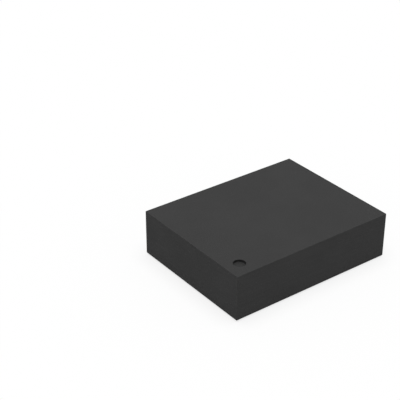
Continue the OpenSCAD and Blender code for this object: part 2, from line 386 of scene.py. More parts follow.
tree, given, gives = new_group(
    "box_edge",
    "ShaderNodeTree",
    [
        ("Position", "Vector"),
        ("Half Size", "Vector"),
        ("Width", "Float", 0.02),
        ("Unevenness", "Float", 0.5),
    ],
    [("Edge", "Float")],
)
from_middle = vector_calc(tree, "ABSOLUTE", given["Position"])
depth = split(tree, vector_calc(tree, "SUBTRACT", given["Half Size"], from_middle))
least = calc(tree, "MINIMUM", depth["X"], depth["Y"])
most = calc(tree, "MAXIMUM", depth["X"], depth["Y"])
second = calc(tree, "MAXIMUM", least, calc(tree, "MINIMUM", most, depth["Z"]))
wobble = mix(tree, noise(tree, given["Position"], EDGE_WOBBLE_SCALE, detail=4.0), -1.0, 1.0)
width = calc(tree, "MULTIPLY_ADD", wobble, given["Unevenness"], 1.0)
width = calc(tree, "MULTIPLY", given["Width"], width)
fill(tree, gives["Edge"], calc(tree, "SUBTRACT", 1.0, calc(tree, "DIVIDE", second, width), clamp=True))
box_edge = tree
print("group box_edge:", len(tree.nodes), "nodes")

# %% [markdown]
# ## A shared effect: sawn sides
#
# Many parts are moulded as one sheet and sawn apart, and chips are sawn from a wafer. The
# blade leaves fine streaks along its path on every upright face, and none on the top. Four
# turned copies of a streak texture would do it, one for each side. This group needs one: it
# finds upright faces by their normal, and stretches a noise far along the face and hardly at
# all in height. Adding x to y works for all four sides, because one of the two is constant
# on each.

# %% Build the sawn side group
UPRIGHT = (0.3, 0.8)
BLADE_SLANT = 0.04

tree, given, gives = new_group(
    "sawn_side",
    "ShaderNodeTree",
    [("Position", "Vector"), ("Normal", "Vector"), ("Streak Pitch", "Float", 0.02)],
    [("Side", "Float"), ("Streaks", "Float")],
)
facing = calc(tree, "ABSOLUTE", split(tree, given["Normal"])["Z"])
place = split(tree, given["Position"])
along = calc(tree, "ADD", place["X"], place["Y"])
slanted = calc(tree, "MULTIPLY_ADD", along, BLADE_SLANT, place["Z"])
across = calc(tree, "DIVIDE", slanted, given["Streak Pitch"])
fill(tree, gives["Side"], ramp(tree, facing, *UPRIGHT, 1.0, 0.0))
fill(tree, gives["Streaks"], noise(tree, point(tree, along, across), 1.0, detail=4.0, roughness=0.7))
sawn_side = tree
print("group sawn_side:", len(tree.nodes), "nodes")

# %% [markdown]
# ## A shared effect: clouding
#
# No real surface has one gloss all over. Fingers, tape and cleaning leave broad, faint
# clouds, which show mostly in how dull the surface is. This group is the same for plastic
# and metal, with the size of the clouds as its input.

# %% Build the clouding group
tree, given, gives = new_group(
    "clouding",
    "ShaderNodeTree",
    [("Position", "Vector"), ("Cloud Size", "Float", 0.6)],
    [("Cloud", "Float")],
)
fill(tree, gives["Cloud"], noise(tree, given["Position"], calc(tree, "DIVIDE", 1.0, given["Cloud Size"])))
clouding = tree
print("group clouding:", len(tree.nodes), "nodes")

# %% [markdown]
# ## A shared effect: metal above a height
#
# Both chips carry small square pads of bare metal, a few microns proud of the silicon. The
# pads are the only parts above the chip's top face, so height alone tells metal from
# silicon, and the pads need no meshes or materials of their own.

# %% Build the bond pad group
PAD_FOOT = 0.3
SCRUB_SCALE = 160.0

tree, given, gives = new_group(
    "bond_pad",
    "ShaderNodeTree",
    [("Position", "Vector"), ("Chip Top", "Float", 0.0)],
    [("Pad", "Float"), ("Scrub", "Float")],
)
just_above = calc(tree, "ADD", given["Chip Top"], PAD_FOOT * PAD_THICKNESS)
fill(tree, gives["Pad"], calc(tree, "GREATER_THAN", split(tree, given["Position"])["Z"], just_above))
fill(tree, gives["Scrub"], noise(tree, given["Position"], SCRUB_SCALE, reach=0.15))
bond_pad = tree
print("group bond_pad:", len(tree.nodes), "nodes")

# %% [markdown]
# ## How every material starts
#
# Each material reads Object coordinates, which stay with the piece when the camera moves.
# A Mapping node turns metres into millimetres and puts the pattern's zero in the middle of
# the piece. A bump's depth is given in millimetres too, and the helper turns it into the
# metres that the Bump node measures in.

# %% Write the material helpers
def start_material(name, centre):
    """A material with an empty Principled shader. Returns the material, its tree, the shader's
    inputs, the position in millimetres from the piece's middle, and the surface's own normal."""
    made = bpy.data.materials.new(name)
    made.use_nodes = True
    tree = made.node_tree
    tree.nodes.clear()
    shader = add(tree, "ShaderNodeBsdfPrincipled")
    add(tree, "ShaderNodeOutputMaterial", {"Surface": shader.outputs[0]})
    coords = add(tree, "ShaderNodeTexCoord").outputs
    mapping = {"Vector": coords["Object"], "Location": -centre, "Scale": (1 / MM,) * 3}
    return made, tree, shader.inputs, step(tree, "ShaderNodeMapping", mapping), coords["Normal"]


def use(tree, group, **inputs):
    """Places a node group, with its inputs' names written with underscores for spaces."""
    node = tree.nodes.new("ShaderNodeGroup")
    node.node_tree = group
    for label, value in inputs.items():
        fill(tree, node.inputs[label.replace("_", " ")], value)
    return node.outputs


def bump(tree, height, depth):
    """The surface's normal with a height pattern pressed into it, to a full depth in millimetres."""
    return step(tree, "ShaderNodeBump", {"Height": height, "Strength": 1.0, "Distance": depth * MM})


def finish_with(tree, shader, **values):
    """Sets or links the shader's inputs, with underscores for the spaces in their names."""
    for label, value in values.items():
        fill(tree, shader[label.replace("_", " ")], value)


print("material helpers:", *(helper.__name__ for helper in (start_material, use, bump, finish_with)))

# %% [markdown]
# ## The moulding compound
#
# The block is black epoxy, matte because the mould's own steel is finely eroded. Its top is
# even, with a fine grain. Its sides are cut through the filler, so they show more pale
# beads and the streaks of the saw. The edges are painted a shade paler: partly rubbed, and
# partly a painted highlight where the edge would catch the light.

# %% Mix the moulding compound
COMPOUND_DARK = grey(0.0385)
COMPOUND_PALE = grey(0.0472)
# The paler edge colour is partly rubbed wear and partly a painted edge highlight.
BEAD_COLOUR = grey(0.085)
RUBBED_AND_HIGHLIT_EDGE = grey(0.075)
STREAK_SHARE = 0.6
BEADS_ON_TOP, BEADS_ON_SIDES = 0.15, 0.5
EDGE_RUB_AND_HIGHLIGHT = 0.3

body_middle = (body_low + body_high) / 2
body_half = (body_high - body_low) / 2
compound, tree, shader, position, normal = start_material("black_compound", body_middle)
grain = use(tree, filler_grain, Position=position, Grain_Size=0.018, Bead_Size=0.034, Bead_Share=0.55)
sawn = use(tree, sawn_side, Position=position, Normal=normal, Streak_Pitch=0.022)
edge = use(tree, box_edge, Position=position, Half_Size=body_half, Width=0.010, Unevenness=0.6)["Edge"]
cloud = use(tree, clouding, Position=position, Cloud_Size=0.7)["Cloud"]

cut = mix(tree, STREAK_SHARE, grain["Grain"], sawn["Streaks"])
colour = mix(tree, mix(tree, sawn["Side"], grain["Grain"], cut), COMPOUND_DARK, COMPOUND_PALE)
bead_strength = mix(tree, sawn["Side"], BEADS_ON_TOP, BEADS_ON_SIDES)
colour = mix(tree, calc(tree, "MULTIPLY", grain["Beads"], bead_strength), colour, BEAD_COLOUR)
# Painted paler edges: partly the rub of handling, partly a painted highlight along the edge.
colour = mix(tree, calc(tree, "MULTIPLY", edge, EDGE_RUB_AND_HIGHLIGHT), colour, RUBBED_AND_HIGHLIT_EDGE)
print("black_compound starts with", len(tree.nodes), "nodes")

# %% [markdown]
# ## The compound in the dimple
#
# The dimple that marks pin 1 is pressed by a polished pin of the mould, so its floor is
# smoother than the top round it. Its floor and wall are also painted a shade darker, as
# painted shade in the recess. It could have a material of its own, but a mask by distance
# from its middle does it without a seam. Height counts for less in that distance, so that
# the mask reaches down to the floor.
#
# A dark surface owes much of its look to what it reflects, so the gloss is kept low and
# rough. Otherwise the white tent would wash it out at a shallow angle.

# %% Finish the moulding compound
DIMPLE_PLACE = Vector((-1.33, -0.96))
DIMPLE_RADIUS = 0.105
DIMPLE_DEPTH = 0.045
DIMPLE_STRETCH = (1.0, 1.0, 0.4)
DIMPLE_BLUR = (1.02, 1.06)
# Painted shade: the dimple's floor and wall are coloured darker to stand for the shade in the recess.
DIMPLE_PAINTED_SHADE = grey(0.0330)
PIN_DULLNESS = 0.45
COMPOUND_DULLNESS = (0.66, 0.74)
GRAIN_DULLNESS = 0.06

to_dimple = vector_calc(tree, "SUBTRACT", position, (*DIMPLE_PLACE, body_half.z))
to_dimple = vector_calc(tree, "MULTIPLY", to_dimple, DIMPLE_STRETCH)
to_dimple = calc(tree, "DIVIDE", vector_calc(tree, "LENGTH", to_dimple, out="Value"), DIMPLE_RADIUS)
in_dimple = ramp(tree, to_dimple, *DIMPLE_BLUR, 1.0, 0.0)
dullness = mix(tree, cloud, *COMPOUND_DULLNESS)
dullness = calc(tree, "MULTIPLY_ADD", grain["Grain"], GRAIN_DULLNESS, dullness)
relief = calc(tree, "ADD", grain["Height"], calc(tree, "MULTIPLY", sawn["Side"], sawn["Streaks"]))
finish_with(
    tree,
    shader,
    Base_Color=mix(tree, in_dimple, colour, DIMPLE_PAINTED_SHADE),
    Roughness=mix(tree, in_dimple, dullness, PIN_DULLNESS),
    Specular_IOR_Level=0.08,
    Normal=bump(tree, relief, depth=0.0012),
)
print("black_compound:", len(tree.nodes), "nodes")

# %% [markdown]
# ## The plated terminals
#
# The four terminals are etched copper under a matte, silver-white plating that takes
# solder. Seen from below they are flat, pale and even. The plating has a fine crystal
# grain, and the sheet below it shows the faint lines of its rolling.
#
# A fresh matte plating scatters so much light in its crystals that it looks half like paint
# and half like metal. Metallic is therefore set half way, and the gloss is broad.

# %% Make the plated copper
PLATING_DARK = (0.560, 0.562, 0.560, 1)
PLATING_PALE = (0.610, 0.610, 0.606, 1)
CRYSTAL_SCALE = 90.0
ROLLING = (1.5, 60.0, 1.0)
CRYSTAL_SHARE, ROLLED_SHARE, CLOUD_SHARE = 0.35, 0.25, 0.3
ROLLED_HEIGHT = 0.6
PLATING_DULLNESS = (0.50, 0.58)

plated, tree, shader, position, _ = start_material("matte_plating", Vector((0, 0, land_high.z / 2)))
crystals = add(tree, "ShaderNodeTexVoronoi", {"Vector": position, "Scale": CRYSTAL_SCALE}).outputs["Color"]
crystals = step(tree, "ShaderNodeSeparateColor", {"Color": crystals})
rolled = noise(tree, vector_calc(tree, "MULTIPLY", position, ROLLING), 1.0, detail=3.0)
cloud = use(tree, clouding, Position=position, Cloud_Size=0.25)["Cloud"]
tone = calc(tree, "MULTIPLY", rolled, ROLLED_SHARE)
tone = calc(tree, "MULTIPLY_ADD", crystals, CRYSTAL_SHARE, tone)
tone = calc(tree, "MULTIPLY_ADD", cloud, CLOUD_SHARE, tone)
relief = calc(tree, "MULTIPLY_ADD", rolled, ROLLED_HEIGHT, crystals)
finish_with(
    tree,
    shader,
    Base_Color=mix(tree, tone, PLATING_DARK, PLATING_PALE),
    Roughness=mix(tree, tone, *PLATING_DULLNESS),
    Metallic=0.5,
    Normal=bump(tree, relief, depth=0.0006),
)
print("matte_plating:", len(tree.nodes), "nodes")

# %% [markdown]
# ## The die-attach film
#
# A film of filled resin, thinner than a hair, glues each chip down. It comes as a pale amber
# tape on the back of the wafer and is sawn with it, so its edges carry the same streaks. Two
# of the shared groups are all it needs.

# %% Make the die-attach film
FILM_DARK = (0.36, 0.26, 0.12, 1)
FILM_PALE = (0.52, 0.40, 0.20, 1)
FILM_DULLNESS = (0.40, 0.55)

film, tree, shader, position, normal = start_material("die_attach_film", Vector((0, 0, chip_low.z)))
grain = use(tree, filler_grain, Position=position, Grain_Size=0.012, Bead_Size=0.018, Bead_Share=0.3)
sawn = use(tree, sawn_side, Position=position, Normal=normal, Streak_Pitch=0.006)
colour = mix(tree, mix(tree, sawn["Side"], grain["Grain"], sawn["Streaks"]), FILM_DARK, FILM_PALE)
finish_with(
    tree,
    shader,
    Base_Color=mix(tree, grain["Beads"], colour, FILM_PALE),
    Roughness=mix(tree, grain["Grain"], *FILM_DULLNESS),
    Normal=bump(tree, grain["Height"], depth=0.0008),
)
print("die_attach_film:", len(tree.nodes), "nodes")

# %% [markdown]
# ## The chips' circuits
#
# The working side of the oscillator chip is covered with circuits, which the eye sees as a
# patchwork of small rectangles in thin-film colours. A picture of a real chip would do it,
# but it would blur close up and it would be somebody's design. A Brick texture gives the
# blocks, with metal tracks for its mortar, and a finer one gives the rows of cells in them.
#
# A guard ring of metal runs round the circuits, just inside the sawn edge. The box edge group
# finds it: with a larger width it falls from 1 at the sawn edge to 0 at the inset, and the
# ring lies half way. The circuits stop in the middle of the ring.

# %% Draw the circuits
CIRCUIT_GREEN = (0.075, 0.150, 0.130, 1)
CIRCUIT_ROSE = (0.210, 0.130, 0.145, 1)
TRACK_METAL = (0.340, 0.345, 0.355, 1)
BLOCKS = {
    "Color1": CIRCUIT_GREEN, "Color2": CIRCUIT_ROSE, "Mortar": TRACK_METAL,
    "Scale": 1.0, "Mortar Size": 0.003, "Brick Width": 0.16, "Row Height": 0.085, "Bias": -0.2,
}
BLOCK_BOND = {"offset": 0.37, "offset_frequency": 3, "squash": 1.9, "squash_frequency": 2}
CELL_ROWS = {
    "Color1": grey(0.55), "Color2": grey(1.0), "Mortar": grey(0.35),
    "Scale": 1.0, "Mortar Size": 0.0008, "Brick Width": 0.014, "Row Height": 0.006,
}
CELL_BOND = {"squash": 0.6, "squash_frequency": 5}
CIRCUIT_INSET = 0.040
GUARD_RING_MIDDLE = 0.5
GUARD_RING_REACH = 0.10


def lay_circuits(tree, near, strength, plain):
    """Lays a made-up circuit over plain silicon: blocks between tracks, inside a guard ring."""
    inset = use(tree, box_edge, **near, Width=CIRCUIT_INSET, Unevenness=0.0)["Edge"]
    within = calc(tree, "LESS_THAN", inset, GUARD_RING_MIDDLE)
    guard_ring = calc(tree, "COMPARE", inset, GUARD_RING_MIDDLE, GUARD_RING_REACH)
    blocks = step(tree, "ShaderNodeTexBrick", {"Vector": near["Position"], **BLOCKS}, **BLOCK_BOND)
    rows = step(tree, "ShaderNodeTexBrick", {"Vector": near["Position"], **CELL_ROWS}, **CELL_BOND)
    circuit = mix(tree, 1.0, blocks, rows, blend="MULTIPLY")
    colour = mix(tree, calc(tree, "MULTIPLY", strength, within), plain, circuit)
    return mix(tree, calc(tree, "MULTIPLY", strength, guard_ring), colour, TRACK_METAL)


print("a block of the circuit:", BLOCKS["Brick Width"], "x", BLOCKS["Row Height"], "mm")

# %% [markdown]
# ## The marks of the grinding wheel
#
# The cap has no circuits. Its wafer was ground thin from that side, and the grinding wheel
# leaves fine arcs, each part of a ring round a point far outside the chip. So a noise over
# the distance from such a point draws them, with no need to draw a line.

# %% Draw the grinding arcs
WHEEL_PLACE = (1.9, -1.4, 0.0)
ARC_PITCH = 0.008


def grinding_arcs(tree, position):
    """A mask of the arcs, from 0 to 1, round the place where the wheel turned."""
    from_wheel = vector_calc(tree, "DISTANCE", position, WHEEL_PLACE, out="Value")
    ring_number = calc(tree, "DIVIDE", from_wheel, ARC_PITCH)
    return noise(tree, point(tree, ring_number), 1.0, detail=4.0, reach=0.35)


print("the wheel turned", round(Vector(WHEEL_PLACE).length, 2), "mm from the middle of the chip")

# %% [markdown]
# ## Silicon
#
# Both chips are silicon: dark, blue-grey and shiny, with a polished or ground top and sawn
# sides.
#
# One function makes the oscillator chip, the resonator chip and its cap, because they differ
# only in how strong the circuits are: the arcs show where the circuits are weak. The bond
# pads are picked out by the group that looks for metal above the top.

# %% Make the silicon
SILICON_DARK = (0.050, 0.056, 0.070, 1)
SILICON_PALE = (0.115, 0.125, 0.150, 1)
PAD_METAL = (0.72, 0.73, 0.74, 1)
ARC_SHARE = 0.75
ARC_HEIGHT = 0.35
CHIPPED_SHARE = 0.6
SILICON_DULLNESS = (0.14, 0.44)
SILICON_METALLIC = 0.35
PAD_DULLNESS = (0.25, 0.45)


def make_silicon(name, low, high, top, circuits):
    """Silicon for the chip in that box, with its working face at height top."""
    high = Vector((high.x, high.y, top))
    half = (high - low) / 2
    made, tree, shader, position, normal = start_material(name, (low + high) / 2)
    sawn = use(tree, sawn_side, Position=position, Normal=normal, Streak_Pitch=0.008)
    near = {"Position": position, "Half_Size": half}
    edge = use(tree, box_edge, **near, Width=0.006, Unevenness=0.8)["Edge"]
    cloud = use(tree, clouding, Position=position, Cloud_Size=0.3)["Cloud"]
    metal = use(tree, bond_pad, Position=position, Chip_Top=half.z)
    pad, scrub = metal["Pad"], metal["Scrub"]

    arcs = grinding_arcs(tree, position)
    ground = mix(tree, ARC_SHARE, cloud, arcs)
    colour = mix(tree, mix(tree, sawn["Side"], ground, sawn["Streaks"]), SILICON_DARK, SILICON_PALE)
    on_top = calc(tree, "MULTIPLY", calc(tree, "SUBTRACT", 1.0, sawn["Side"]), circuits)
    colour = lay_circuits(tree, near, on_top, colour)
    colour = mix(tree, calc(tree, "MULTIPLY", edge, CHIPPED_SHARE), colour, SILICON_PALE)
    wheel_marks = calc(tree, "MULTIPLY", arcs, ARC_HEIGHT * (1 - circuits))
    tool_marks = mix(tree, sawn["Side"], wheel_marks, sawn["Streaks"])
    polish = mix(tree, sawn["Side"], *SILICON_DULLNESS)
    finish_with(
        tree,
        shader,
        Base_Color=mix(tree, pad, colour, PAD_METAL),
        Metallic=mix(tree, pad, SILICON_METALLIC, 1.0),
        Roughness=mix(tree, pad, polish, mix(tree, scrub, *PAD_DULLNESS)),
        Normal=bump(tree, mix(tree, pad, tool_marks, scrub), depth=0.0004),
    )
    print(f"{name}: {len(tree.nodes)} nodes")
    return made


oscillator_silicon = make_silicon("oscillator_silicon", chip_low, chip_high, chip_top, circuits=0.85)
resonator_silicon = make_silicon("resonator_silicon", base_low, base_high, base_top, circuits=0.08)
cap_silicon = make_silicon("cap_silicon", cap_low, cap_high, cap_high.z, circuits=0.0)

# %% [markdown]
# ## Seal glass
#
# The cap is bonded down with glass frit: glass powder in a paste, printed as a frame and
# then melted. It comes out milky, in warm greys, with pores where it has boiled. Real
# see-through glass with bubbles inside would be slow and would hardly show, so the milk is
# a plain colour, and the shared grain group is turned inside out: its beads are the pores.

# %% Make the seal glass
GLASS_DARK = (0.24, 0.20, 0.15, 1)
GLASS_PALE = (0.46, 0.41, 0.33, 1)
GLASS_CLOUDING = 0.5
PORE_STRENGTH = 0.7
GLASS_DULLNESS = (0.22, 0.42)

frit_glass, tree, shader, position, _ = start_material("frit_glass", (seal_low + seal_high) / 2)
grain = use(tree, filler_grain, Position=position, Grain_Size=0.01, Bead_Size=0.014, Bead_Share=0.35)
cloud = use(tree, clouding, Position=position, Cloud_Size=0.1)["Cloud"]
colour = mix(tree, mix(tree, GLASS_CLOUDING, grain["Grain"], cloud), GLASS_DARK, GLASS_PALE)
finish_with(
    tree,
    shader,
    Base_Color=mix(tree, calc(tree, "MULTIPLY", grain["Beads"], PORE_STRENGTH), colour, GLASS_DARK),
    Roughness=mix(tree, grain["Grain"], *GLASS_DULLNESS),
    Normal=bump(tree, calc(tree, "SUBTRACT", grain["Grain"], grain["Beads"]), depth=0.0005),
)
print("frit_glass:", len(tree.nodes), "nodes")

# %% [markdown]
# ## Etched silicon
#
# The ring and its electrodes are etched straight down through one layer of silicon. The etch
# works in short bites, and each bite leaves a scallop, so the walls carry a stack of tiny
# level ripples. Modelled as geometry they would cost a hundred thousand faces. A sine of the
# height does the same as bump, and also as painted light and shade across the ripples in the
# colour, and the side mask keeps it off the flat tops.

# %% Make the etched silicon
ETCHED_DARK = (0.16, 0.17, 0.19, 1)
ETCHED_PALE = (0.30, 0.31, 0.34, 1)
SCALLOP = 0.001
SCALLOP_PAINTED_SHADING = 0.3
MIDDLE_TONE = 0.5
ETCHED_DULLNESS = (0.16, 0.36)

etched_silicon, tree, shader, position, normal = start_material("etched_silicon", Vector((0, 0, base_top)))
side = use(tree, sawn_side, Position=position, Normal=normal, Streak_Pitch=0.004)["Side"]
cloud = use(tree, clouding, Position=position, Cloud_Size=0.06)["Cloud"]
scallops = calc(tree, "SINE", calc(tree, "MULTIPLY", split(tree, position)["Z"], math.tau / SCALLOP))
scallops = calc(tree, "MULTIPLY", scallops, side)
# Painted light and shade: the colour rises and falls with each ripple of the wall.
scallop_shading = calc(tree, "MULTIPLY_ADD", scallops, SCALLOP_PAINTED_SHADING, MIDDLE_TONE)
finish_with(
    tree,
    shader,
    Base_Color=mix(tree, mix(tree, side, cloud, scallop_shading), ETCHED_DARK, ETCHED_PALE),
    Roughness=mix(tree, side, *ETCHED_DULLNESS),
    Metallic=0.4,
    Normal=bump(tree, scallops, depth=0.0002),
)
print("etched_silicon:", len(tree.nodes), "nodes")

# %% [markdown]
# ## Gold
#
# The wire is pure gold, drawn through a diamond die to a fifth of a hair. It is bright, with
# the faintest roughness from the die and from the tool that clamps it. Gold's colour is all
# in its reflection, so Metallic is 1 and the base colour is what a mirror of gold sends back.

# %% Make the gold
GOLD_DEEP = (0.86, 0.55, 0.20, 1)
GOLD_PALE = (0.96, 0.70, 0.33, 1)
DIE_MARK_SCALE = 220.0
DIE_MARK_SHARE = 0.4
GOLD_DULLNESS = (0.16, 0.26)

gold, tree, shader, position, _ = start_material("drawn_gold", Vector((0, 0, chip_top)))
cloud = use(tree, clouding, Position=position, Cloud_Size=0.05)["Cloud"]
drawn = noise(tree, position, DIE_MARK_SCALE, detail=3.0, reach=0.15)
finish_with(
    tree,
    shader,
    Base_Color=mix(tree, mix(tree, DIE_MARK_SHARE, cloud, drawn), GOLD_DEEP, GOLD_PALE),
    Roughness=mix(tree, drawn, *GOLD_DULLNESS),
    Metallic=1.0,
    Normal=bump(tree, drawn, depth=0.0002),
)
print("drawn_gold:", len(tree.nodes), "nodes")

# %% [markdown]
# ## Copies of the CAD's solids
#
# The finer block and the finer terminals start from their CAD nodes. A node arrives as loose
# triangles in metres, so a copy is first brought to millimetres and joined up at its corners.
#
# The CAD meshes carry shading normals of their own, and a copy inherits them. On a copy that
# has been cut or bevelled they are stale: they hide sharp edges and draw faint creases over
# flat faces. So they are thrown away as soon as a copy becomes a mesh.

# %% Write the copy helpers
JOIN_WITHIN = 1e-5


def cad_copy(node):
    """A bmesh of a CAD node in millimetres, with its loose triangles joined up."""
    form = bmesh.new()
    form.from_mesh(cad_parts[node].data)
    bmesh.ops.scale(form, vec=(1 / MM,) * 3, verts=form.verts)
    bmesh.ops.remove_doubles(form, verts=form.verts, dist=JOIN_WITHIN)
    return form


def as_mesh(form, name):
    """Turns a bmesh into a mesh, and says how many of its edges do not join just two faces."""
    print(f"{name}: {sum(len(edge.link_faces) != 2 for edge in form.edges)} open edges")
    mesh = bpy.data.meshes.new(name)
    form.to_mesh(mesh)
    form.free()
    stale = mesh.attributes.get("custom_normal")
    if stale:
        mesh.attributes.remove(stale)
    return mesh


print("a copy's corners are joined within", JOIN_WITHIN, "mm")

# %% [markdown]
# ## Running a modifier once
#
# A modifier works on an object and stays live until it is applied. The pieces here are plain
# meshes, so a modifier is run on a carrier object instead: the mesh that comes out is kept,
# and the modifier goes with its carrier.

# %% Write the modifier helper
def run_modifier(mesh, kind, inputs=None, **settings):
    """Runs one modifier on a mesh, and returns the plain result."""
    carrier = bpy.data.objects.new("carrier", mesh)
    bpy.context.scene.collection.objects.link(carrier)
    modifier = carrier.modifiers.new("finish", kind)
    for name, value in settings.items():
        setattr(modifier, name, value)
    for identifier, value in (inputs or {}).items():
        modifier[identifier] = value
    depsgraph = bpy.context.evaluated_depsgraph_get()
    result = bpy.data.meshes.new_from_object(carrier.evaluated_get(depsgraph))
    carrier.modifiers.remove(modifier)
    bpy.data.objects.remove(carrier)
    return result


print("modifier helper:", run_modifier.__name__)

# %% [markdown]
# ## Turning millimetre meshes into pieces
#
# Every mesh below is built in millimetres, where a bevel of a few microns is a number that
# Blender's mesh tools are happy with. Before that it prints how far the piece's box is from
# the CAD's.
#
# A flat face that meets a small bevel would be shaded as if it bulged. A Weighted Normal
# modifier keeps the large faces flat, and leaves the turn to the bevel.

# %% Write the piece helpers
SMOOTH_BELOW = 35
MICRONS = 1000


def box_error(mesh, node):
    """How far a mesh's box is from its CAD node's, in microns."""
    gaps = []
    for axis, (low, high) in enumerate(zip(*box_mm(node))):
        places = [vertex.co[axis] for vertex in mesh.vertices]
        gaps += [abs(min(places) - low), abs(max(places) - high)]
    return max(gaps) * MICRONS


def add_piece(name, mesh, material, node, keep_flats=False):
    """Links a mesh in millimetres as a finished piece that stands for a CAD node."""
    mesh.shade_smooth()
    mesh.set_sharp_from_angle(angle=math.radians(SMOOTH_BELOW))
    if keep_flats:
        mesh = run_modifier(mesh, "WEIGHTED_NORMAL", keep_sharp=True)
    print(f"{name}: {len(mesh.polygons)} faces, {box_error(mesh, node):.2f} microns from its CAD box")
    for vertex in mesh.vertices:
        vertex.co *= MM
    mesh.materials.clear()
    mesh.materials.append(material)
    piece = bpy.data.objects.new(name, mesh)
    bpy.context.scene.collection.objects.link(piece)
    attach(piece, "root")
    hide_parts(node)


print("shading turns smoothly up to", SMOOTH_BELOW, "degrees")

# %% [markdown]
# ## The moulded body: what lies inside
#
# The CAD block is hollow where the chips, wires and terminals are, so the finer block keeps
# those walls as they are. They could be cut out again with a Boolean, but that would be the
# same work twice with a chance of gaps. Instead a copy of the CAD mesh loses its six outer
# faces and its dimple. What is left is the wall of the hollow, open at four places: the
# mouths in the underside that the lands come through.

# %% Keep the walls of the hollow
NEAR = 1e-4

body = cad_copy("mould_body")
cad_volume = body.calc_volume(signed=True)


def on_outside(face):
    """True for a face of the block's six sides or of its dimple."""
    for axis in range(3):
        for limit in (body_low[axis], body_high[axis]):
            if all(abs(vertex.co[axis] - limit) < NEAR for vertex in face.verts):
                return True
    reach = DIMPLE_RADIUS + NEAR
    floor = body_high.z - DIMPLE_DEPTH - NEAR
    corners = [vertex.co for vertex in face.verts]
    return all((place.xy - DIMPLE_PLACE).length < reach and place.z > floor for place in corners)


bmesh.ops.delete(body, geom=[face for face in body.faces if on_outside(face)], context="FACES")
mouths = [edge for edge in body.edges if edge.is_boundary]
print("faces of the hollow:", len(body.faces), "edges round its mouths:", len(mouths))

# %% [markdown]
# ## The moulded body: its outside
#
# A sawn block has crisp edges, yet even these are a few microns round, and that hair of
# roundness is what catches the light. A Bevel modifier would round the hollow and the mouths
# as well, so a plain box is bevelled on its own before it joins them. Its top and its
# underside are then opened, one for the dimple and one for the mouths.

# %% Build the outer shell
EDGE_ROUND = 0.006
EDGE_STEPS = 3
ROUND = 0.5
LEVEL = 0.999

shell = bmesh.new()
bmesh.ops.create_cube(shell, size=1.0)
bmesh.ops.scale(shell, vec=body_high - body_low, verts=shell.verts)
bmesh.ops.translate(shell, vec=body_middle, verts=shell.verts)
edges = list(shell.edges)
bmesh.ops.bevel(shell, geom=edges, offset=EDGE_ROUND, segments=EDGE_STEPS, profile=ROUND, affect="EDGES")
body.from_mesh(as_mesh(shell, "outer_shell"))
body.normal_update()


def open_face(height, up):
    """Takes out the shell's flat face at that height and returns the edges round the opening."""
    level = [face for face in body.faces if face.normal.z * up > LEVEL]
    there = [face for face in level if all(abs(vertex.co.z - height) < NEAR for vertex in face.verts)]
    flat = max(there, key=lambda face: face.calc_area())
    edges = list(flat.edges)
    bmesh.ops.delete(body, geom=[flat], context="FACES_ONLY")
    return edges


top_edges = open_face(body_high.z, 1)
underside_edges = open_face(body_low.z, -1)
print("edges round the openings:", len(top_edges), "and", len(underside_edges))

# %% [markdown]
# ## The pin 1 dimple
#
# A round pin in the mould presses this shallow dimple beside pin 1, so that an eye or a
# camera can see which way round the part is. A Boolean would cut it, and leave thin ragged
# triangles round the hole. Turning it like a bowl on a lathe leaves even faces: a row of
# rings follows a profile over a soft rim, down the wall, round the foot and onto the floor.

# %% Turn the dimple
DIMPLE_STEPS = 96
RIM_ROUND = 0.006
FOOT_ROUND = 0.008
ARC_STEPS = 4

rim, foot = [], []
for number in range(ARC_STEPS + 1):
    lean = math.pi / 2 * number / ARC_STEPS
    rim.append((DIMPLE_RADIUS + RIM_ROUND * (1 - math.sin(lean)), RIM_ROUND * (math.cos(lean) - 1)))
    foot_height = FOOT_ROUND * (1 - math.sin(lean)) - DIMPLE_DEPTH
    foot.append((DIMPLE_RADIUS - FOOT_ROUND * (1 - math.cos(lean)), foot_height))

rings = []
for radius, height in rim + foot:
    ring = []
    for number in range(DIMPLE_STEPS):
        angle = math.tau * number / DIMPLE_STEPS
        spot = DIMPLE_PLACE + radius * Vector((math.cos(angle), math.sin(angle)))
        ring.append(body.verts.new((*spot, body_high.z + height)))
    rings.append(ring)
for outer, inner in zip(rings, rings[1:]):
    for number in range(DIMPLE_STEPS):
        following = (number + 1) % DIMPLE_STEPS
        body.faces.new((outer[number], outer[following], inner[following], inner[number]))
body.faces.new(rings[-1])
turned = rings[0][1:] + rings[0][:1]
rim_edges = [body.edges.get(pair) for pair in zip(rings[0], turned)]
print("dimple:", len(rings), "rings of", DIMPLE_STEPS)

# %% [markdown]
# ## The moulded body: closing it
#
# The top is now a flat sheet with a round hole, and the underside one with four mouths.
# Joining them by hand would mean finding a path from edge to edge, and Blender's triangle
# fill does just that for any flat sheet. After it every edge must lie between two faces, and
# the block's volume must agree with the CAD's, which proves that nothing was left open or
# turned inside out.

# %% Close the block
bmesh.ops.triangle_fill(body, use_beauty=True, edges=top_edges + rim_edges, normal=(0, 0, 1))
bmesh.ops.triangle_fill(body, use_beauty=True, edges=underside_edges + mouths, normal=(0, 0, -1))
body.normal_update()
print("volume in mm3:", round(body.calc_volume(signed=True), 4), "and in the CAD:", round(cad_volume, 4))
mesh = as_mesh(body, "moulded_body")
add_piece("moulded_body", mesh, compound, "mould_body", keep_flats=True)

# %% [markdown]
# ## The terminals
#
# The terminals are etched from sheet, half of the thickness from below and half from above,
# and etching leaves soft corners. Their CAD solids have the right form with razor edges, so
# there is no need to model them again. A copy of each is joined up, its triangles are melted
# back into flat faces, and all its edges are bevelled by a few microns.

# %% Bevel the terminals
ETCH_ROUND = 0.004
ETCH_STEPS = 2
FLAT_WITHIN = math.radians(1)

